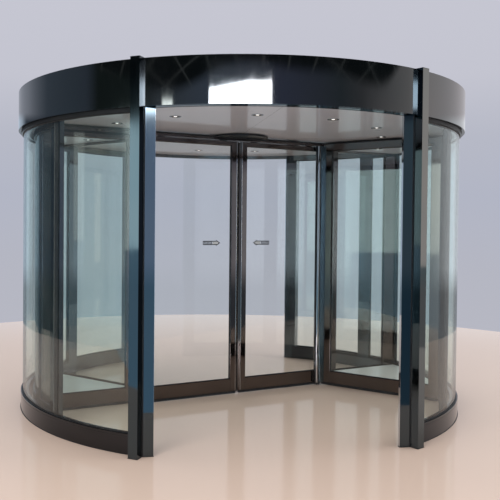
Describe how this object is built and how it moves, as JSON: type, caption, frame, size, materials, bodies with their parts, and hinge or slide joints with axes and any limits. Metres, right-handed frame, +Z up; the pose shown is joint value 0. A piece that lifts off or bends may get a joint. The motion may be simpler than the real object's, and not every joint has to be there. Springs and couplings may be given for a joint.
{
  "type": "two-wing revolving door",
  "caption": "Free-standing automatic revolving door: curved glass drum under a deep canopy ring, rotor with glazed display bays and a pair of centre sliding leaves.",
  "frame": {"origin": "centre of the drum on the floor, under the rotor's axis", "axes": "+Z up along the rotor's axis, -Y out through the front opening, +X to the right seen from the front"},
  "size_m": [3.9, 3.8996, 2.655],
  "materials": {
    "black_mirror_steel": "mirror-polished black stainless steel sheet",
    "post_steel": "mirror-polished blue-black stainless steel sheet",
    "bronze_mirror_steel": "polished black-bronze stainless steel sheet",
    "clear_glass": "clear toughened glass with a faint green cast",
    "roof_cover": "matt dark grey dust cover",
    "ceiling_panel": "satin warm grey-white ceiling sheet",
    "rail_steel": "polished brown-black stainless steel sheet",
    "downlight": "bright polished rim round a frosted lens",
    "bearing_steel": "machined steel",
    "hub_black": "satin black paint",
    "brush_pile": "dense black nylon bristles",
    "bright_steel": "mirror-bright stainless steel",
    "bay_floor_panel": "off-white lacquered panel"
  },
  "bodies": {
    "drum": {"canopy_fascia_front": "black_mirror_steel", "canopy_fascia_rear": "black_mirror_steel", "canopy_fascia_left": "black_mirror_steel", "canopy_fascia_right": "black_mirror_steel", "canopy_roof": "roof_cover", "canopy_ceiling": "ceiling_panel", "ceiling_downlights": "downlight", "rotor_bearing": "bearing_steel", "canopy_head_rails": "black_mirror_steel", "wall_rail_left": "rail_steel", "wall_rail_right": "rail_steel", "wall_glass_left_front": "clear_glass", "wall_glass_left_rear": "clear_glass", "wall_glass_right_front": "clear_glass", "wall_glass_right_rear": "clear_glass", "end_post_front_left": "post_steel", "end_post_front_right": "post_steel", "end_post_rear_left": "post_steel", "end_post_rear_right": "post_steel", "jamb_front_left": "post_steel", "jamb_front_right": "post_steel", "jamb_rear_left": "post_steel", "jamb_rear_right": "post_steel"},
    "rotor": {"rotor_hub": "hub_black", "rotor_header": "bronze_mirror_steel", "rotor_brushes": "brush_pile", "screen_frame_left": "bronze_mirror_steel", "screen_frame_right": "bronze_mirror_steel", "screen_glass": "clear_glass", "side_frame_left": "bronze_mirror_steel", "side_frame_right": "bronze_mirror_steel", "side_glass": "clear_glass", "bay_rim_frame_left": "post_steel", "bay_rim_frame_right": "post_steel", "bay_rim_glass": "clear_glass", "bay_corner_posts": "bright_steel", "bay_floors": "bay_floor_panel", "bay_ceilings": "ceiling_panel", "bay_downlights": "downlight"},
    "leaf_left": {"leaf_frame_left": "bronze_mirror_steel", "leaf_glass_left": "clear_glass", "leaf_seals_left": "brush_pile"},
    "leaf_right": {"leaf_frame_right": "bronze_mirror_steel", "leaf_glass_right": "clear_glass", "leaf_seals_right": "brush_pile"}
  },
  "joints": [
    {"name": "rotor_spin", "type": "hinge", "parent": "drum", "child": "rotor", "pos_m": [0, 0, 2.4], "axis": [0, 0, 1], "continuous": true},
    {"name": "leaf_right_slide", "type": "slide", "parent": "rotor", "child": "leaf_right", "axis": [0.9483, 0.3173, 0], "range_m": [0, 0.74]},
    {"name": "leaf_left_slide", "type": "slide", "parent": "rotor", "child": "leaf_left", "axis": [-0.9483, -0.3173, 0], "range_m": [0, 0.74]}
  ],
  "couplings": [
    {"joint": "leaf_left_slide", "follows": "leaf_right_slide", "ratio": 1}
  ]
}
